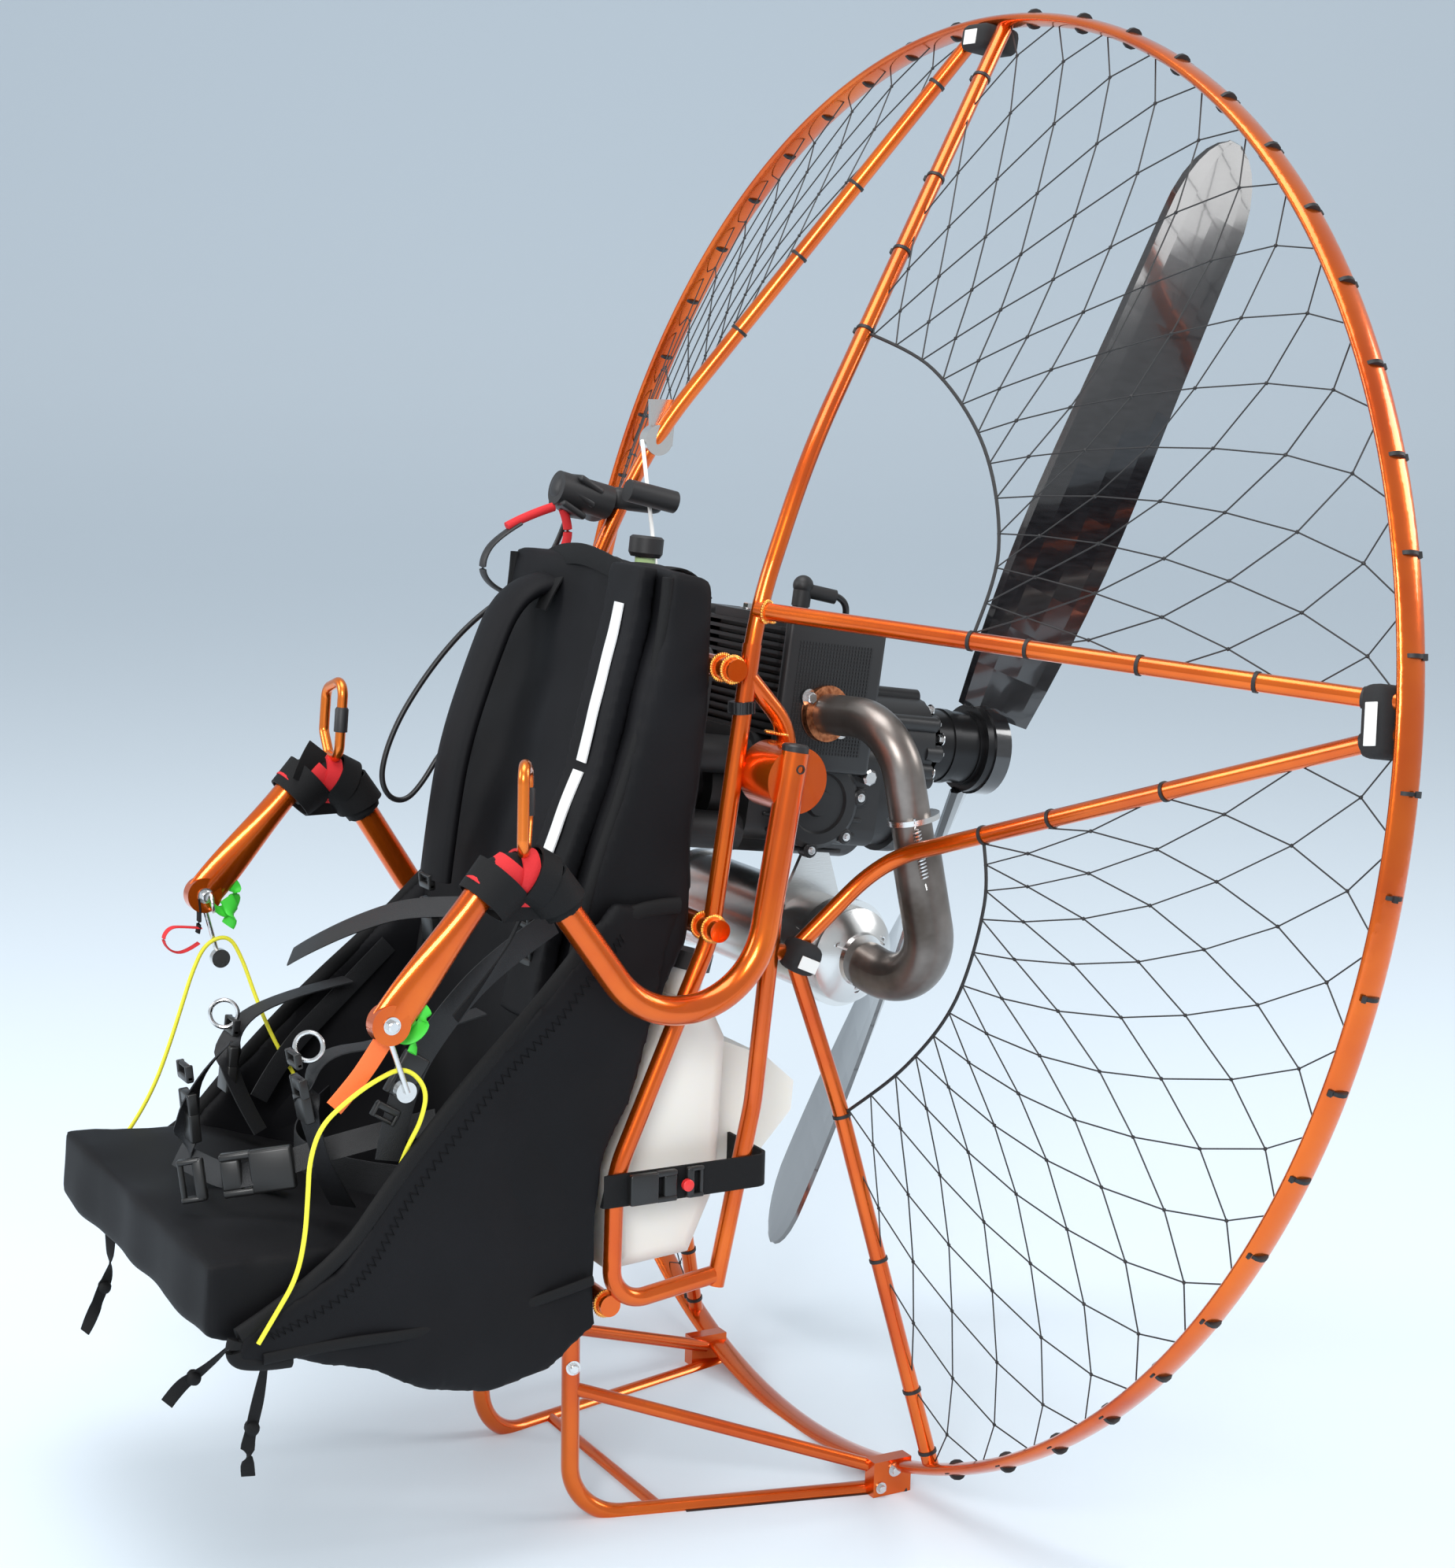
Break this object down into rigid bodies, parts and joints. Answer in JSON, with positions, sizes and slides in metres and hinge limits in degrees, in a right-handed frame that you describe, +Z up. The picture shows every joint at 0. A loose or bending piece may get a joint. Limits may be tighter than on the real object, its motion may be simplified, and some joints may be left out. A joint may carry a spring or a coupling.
{
  "type": "paramotor",
  "caption": "Back-carried paramotor: hoop cage with spokes, two-blade pusher propeller, engine, fuel tank, fabric seat harness and two comfort arms, standing on skids.",
  "frame": {"origin": "on the ground under the middle of the machine", "axes": "+Z up, -Y towards the pilot's front, +Y towards the propeller, +X towards the pilot's left"},
  "size_m": [1.422, 0.9616, 1.4168],
  "materials": {
    "frame_paint": "metallic candy orange over bright steel, glossy",
    "anodised_orange": "orange anodised",
    "pad_rubber": "matte black",
    "blade_gloss": "clear coated black carbon",
    "hub_black": "black anodised",
    "engine_black": "satin black",
    "cover_plastic": "moulded black",
    "pipe_steel": "heat-darkened grey brown",
    "bare_alloy": "bare, brushed",
    "tank_plastic": "milky natural plastic",
    "black_webbing": "woven webbing",
    "harness_fabric": "coated woven nylon",
    "yellow_cord": "braided",
    "white_cord": "braided",
    "cable_rubber": "smooth black sleeve"
  },
  "bodies": {
    "chassis": {"air_box": "cover_plastic", "barrel": "engine_black", "cage_foot": "frame_paint", "cage_lower_left": "frame_paint", "cage_lower_right": "frame_paint", "cage_upper_left": "frame_paint", "cage_upper_right": "frame_paint", "carburettor": "engine_black", "crankcase": "engine_black", "cross_tube_floor": "frame_paint", "cross_tube_lower": "frame_paint", "cross_tube_upper": "frame_paint", "cylinder_head": "engine_black", "engine_mount": "engine_black", "exhaust_pipe": "pipe_steel", "fuel_tank": "tank_plastic", "gearbox": "engine_black", "harness_back": "harness_fabric", "harness_wing_left": "harness_fabric", "harness_wing_right": "harness_fabric", "muffler": "bare_alloy", "muffler_bracket": "bare_alloy", "plug_cap": "pad_rubber", "rubber_mounts": "pad_rubber", "seat": "harness_fabric", "shoulder_strap_left": "harness_fabric", "shoulder_strap_right": "harness_fabric", "side_frame_left": "frame_paint", "side_frame_right": "frame_paint", "skid_cross_tube": "frame_paint", "skid_left": "frame_paint", "skid_pad_left": "pad_rubber", "skid_pad_right": "pad_rubber", "skid_right": "frame_paint", "starter_cord": "white_cord", "starter_cover": "engine_black", "starter_handle": "cover_plastic", "starter_pulley": "bare_alloy", "tank_cap": "cover_plastic", "tank_strap": "black_webbing", "throttle_cable": "cable_rubber", "throttle_grip": "cover_plastic"},
    "propeller": {"propeller": "blade_gloss", "hub_spacer": "hub_black"},
    "arm_left": {"arm_left": "frame_paint", "lever_left": "frame_paint", "arm_wrap_left": "black_webbing", "carabiner_left": "anodised_orange", "pulley_left": "bare_alloy", "speed_cord_left": "yellow_cord"},
    "arm_right": {"arm_right": "frame_paint", "lever_right": "frame_paint", "arm_wrap_right": "black_webbing", "carabiner_right": "anodised_orange", "pulley_right": "bare_alloy", "speed_cord_right": "yellow_cord"}
  },
  "joints": [
    {"name": "propeller_spin", "type": "hinge", "parent": "chassis", "child": "propeller", "pos_m": [0, 0.3, 0.7109], "axis": [0, 0.9925, -0.1222], "continuous": true},
    {"name": "arm_left_pivot", "type": "hinge", "parent": "chassis", "child": "arm_left", "pos_m": [0.19, 0.054, 0.718], "axis": [-1, 0, 0], "range_deg": [0, 16]},
    {"name": "arm_right_pivot", "type": "hinge", "parent": "chassis", "child": "arm_right", "pos_m": [-0.19, 0.054, 0.718], "axis": [-1, 0, 0], "range_deg": [0, 16]}
  ]
}
